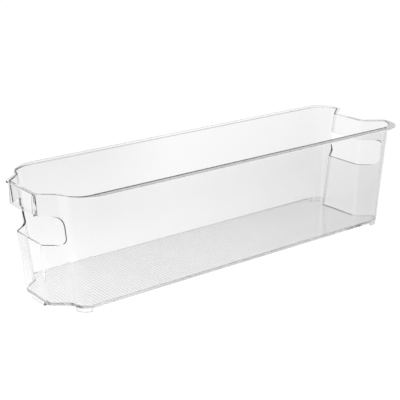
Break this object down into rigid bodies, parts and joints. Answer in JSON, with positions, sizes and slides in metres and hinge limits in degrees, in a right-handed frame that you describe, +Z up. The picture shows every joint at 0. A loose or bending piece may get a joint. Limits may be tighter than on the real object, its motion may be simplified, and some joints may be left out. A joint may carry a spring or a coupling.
{
  "type": "fridge storage bin",
  "caption": "Long narrow clear plastic storage bin with leaning walls, a bowed end and a recessed end that tuck together, hand holes under the rim at both ends, and a finely ribbed floor.",
  "frame": {"origin": "under the middle of the bin, on the plane that its feet stand on", "axes": "+X along the bin towards the recessed end, +Y across it, +Z up"},
  "size_m": [0.3672, 0.1092, 0.0964],
  "materials": {
    "clear_plastic": "clear and polished"
  },
  "bodies": {
    "root": {"floor": "clear_plastic", "near_side_wall": "clear_plastic", "far_side_wall": "clear_plastic", "bow_lower_wall": "clear_plastic", "bow_handle_band": "clear_plastic", "near_bow_corner": "clear_plastic", "far_bow_corner": "clear_plastic", "recess_lower_wall": "clear_plastic", "recess_handle_band": "clear_plastic", "near_recess_corner": "clear_plastic", "far_recess_corner": "clear_plastic", "near_rim": "clear_plastic", "far_rim": "clear_plastic", "bow_rim": "clear_plastic", "recess_rim": "clear_plastic", "handle_frame": "clear_plastic", "feet": "clear_plastic"}
  },
  "joints": []
}
